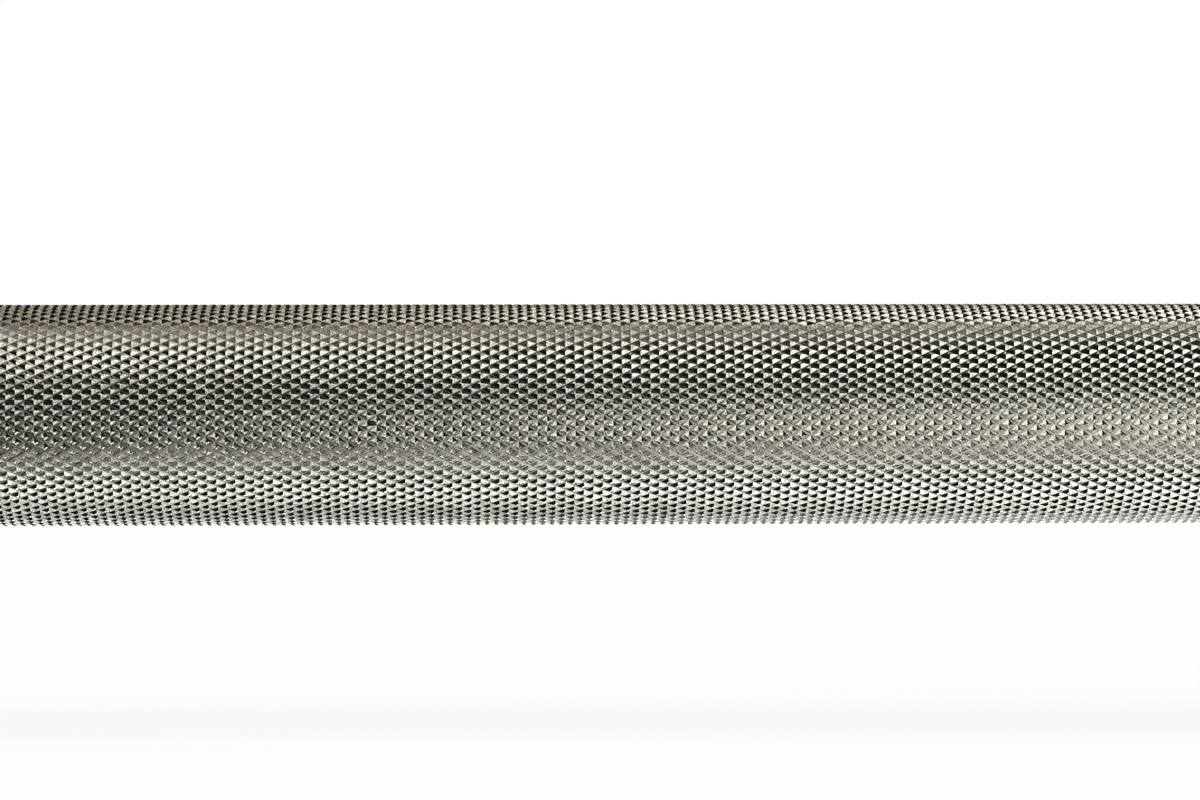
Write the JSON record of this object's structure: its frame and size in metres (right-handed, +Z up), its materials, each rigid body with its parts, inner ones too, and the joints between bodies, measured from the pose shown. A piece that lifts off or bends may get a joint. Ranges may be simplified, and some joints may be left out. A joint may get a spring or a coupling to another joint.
{
  "type": "olympic barbell",
  "caption": "Straight steel barbell with a diamond-knurled shaft, smooth hand marks, and plate sleeves with collars that turn freely on bushes and needle bearings.",
  "frame": {"origin": "middle of the bar on the shaft's axis", "axes": "+X along the bar towards the right sleeve, +Z up, +Y away from the viewer of the picture"},
  "size_m": [2.2, 0.08, 0.08],
  "materials": {
    "shaft_steel": "satin, diamond knurled",
    "sleeve_chrome": "hard chrome, lightly scuffed",
    "collar_chrome": "satin chrome",
    "seal_rubber": "matte",
    "bush_bronze": "sintered bronze",
    "washer_steel": "ground",
    "spring_steel": "black oxide",
    "bearing_steel": "ground and hardened",
    "cage_steel": "pressed",
    "cap_aluminium": "turned, clear anodised"
  },
  "bodies": {
    "shaft": {"shaft": "shaft_steel", "left_thrust_washer": "washer_steel", "left_shaft_ring": "spring_steel", "right_thrust_washer": "washer_steel", "right_shaft_ring": "spring_steel"},
    "left_sleeve": {"left_sleeve": "sleeve_chrome", "left_collar": "collar_chrome", "left_dust_seal": "seal_rubber", "left_flanged_bush": "bush_bronze", "left_end_cap": "cap_aluminium", "left_cap_ring": "spring_steel", "left_bearing_cup_1": "bearing_steel", "left_bearing_cup_2": "bearing_steel", "left_bearing_cup_3": "bearing_steel", "left_bearing_cup_4": "bearing_steel"},
    "left_cage_1": {"left_bearing_cage_1": "cage_steel", "left_bearing_rollers_1": "bearing_steel"},
    "left_cage_2": {"left_bearing_cage_2": "cage_steel", "left_bearing_rollers_2": "bearing_steel"},
    "left_cage_3": {"left_bearing_cage_3": "cage_steel", "left_bearing_rollers_3": "bearing_steel"},
    "left_cage_4": {"left_bearing_cage_4": "cage_steel", "left_bearing_rollers_4": "bearing_steel"},
    "right_sleeve": {"right_sleeve": "sleeve_chrome", "right_collar": "collar_chrome", "right_dust_seal": "seal_rubber", "right_flanged_bush": "bush_bronze", "right_end_cap": "cap_aluminium", "right_cap_ring": "spring_steel", "right_bearing_cup_1": "bearing_steel", "right_bearing_cup_2": "bearing_steel", "right_bearing_cup_3": "bearing_steel", "right_bearing_cup_4": "bearing_steel"},
    "right_cage_1": {"right_bearing_cage_1": "cage_steel", "right_bearing_rollers_1": "bearing_steel"},
    "right_cage_2": {"right_bearing_cage_2": "cage_steel", "right_bearing_rollers_2": "bearing_steel"},
    "right_cage_3": {"right_bearing_cage_3": "cage_steel", "right_bearing_rollers_3": "bearing_steel"},
    "right_cage_4": {"right_bearing_cage_4": "cage_steel", "right_bearing_rollers_4": "bearing_steel"}
  },
  "joints": [
    {"name": "left_sleeve_spin", "type": "hinge", "parent": "shaft", "child": "left_sleeve", "pos_m": [-0.8775, 0, 0], "axis": [1, 0, 0], "continuous": true},
    {"name": "left_cage_1_spin", "type": "hinge", "parent": "shaft", "child": "left_cage_1", "pos_m": [-0.69425, 0, 0], "axis": [1, 0, 0], "continuous": true},
    {"name": "left_cage_2_spin", "type": "hinge", "parent": "shaft", "child": "left_cage_2", "pos_m": [-0.71525, 0, 0], "axis": [1, 0, 0], "continuous": true},
    {"name": "left_cage_3_spin", "type": "hinge", "parent": "shaft", "child": "left_cage_3", "pos_m": [-1.0486, 0, 0], "axis": [1, 0, 0], "continuous": true},
    {"name": "left_cage_4_spin", "type": "hinge", "parent": "shaft", "child": "left_cage_4", "pos_m": [-1.0696, 0, 0], "axis": [1, 0, 0], "continuous": true},
    {"name": "right_sleeve_spin", "type": "hinge", "parent": "shaft", "child": "right_sleeve", "pos_m": [0.8775, 0, 0], "axis": [1, 0, 0], "continuous": true},
    {"name": "right_cage_1_spin", "type": "hinge", "parent": "shaft", "child": "right_cage_1", "pos_m": [0.69425, 0, 0], "axis": [1, 0, 0], "continuous": true},
    {"name": "right_cage_2_spin", "type": "hinge", "parent": "shaft", "child": "right_cage_2", "pos_m": [0.71525, 0, 0], "axis": [1, 0, 0], "continuous": true},
    {"name": "right_cage_3_spin", "type": "hinge", "parent": "shaft", "child": "right_cage_3", "pos_m": [1.0486, 0, 0], "axis": [1, 0, 0], "continuous": true},
    {"name": "right_cage_4_spin", "type": "hinge", "parent": "shaft", "child": "right_cage_4", "pos_m": [1.0696, 0, 0], "axis": [1, 0, 0], "continuous": true}
  ],
  "couplings": [
    {"joint": "left_cage_1_spin", "follows": "left_sleeve_spin", "ratio": 0.54546},
    {"joint": "left_cage_2_spin", "follows": "left_sleeve_spin", "ratio": 0.54546},
    {"joint": "left_cage_3_spin", "follows": "left_sleeve_spin", "ratio": 0.54546},
    {"joint": "left_cage_4_spin", "follows": "left_sleeve_spin", "ratio": 0.54546},
    {"joint": "right_cage_1_spin", "follows": "right_sleeve_spin", "ratio": 0.54546},
    {"joint": "right_cage_2_spin", "follows": "right_sleeve_spin", "ratio": 0.54546},
    {"joint": "right_cage_3_spin", "follows": "right_sleeve_spin", "ratio": 0.54546},
    {"joint": "right_cage_4_spin", "follows": "right_sleeve_spin", "ratio": 0.54546}
  ]
}
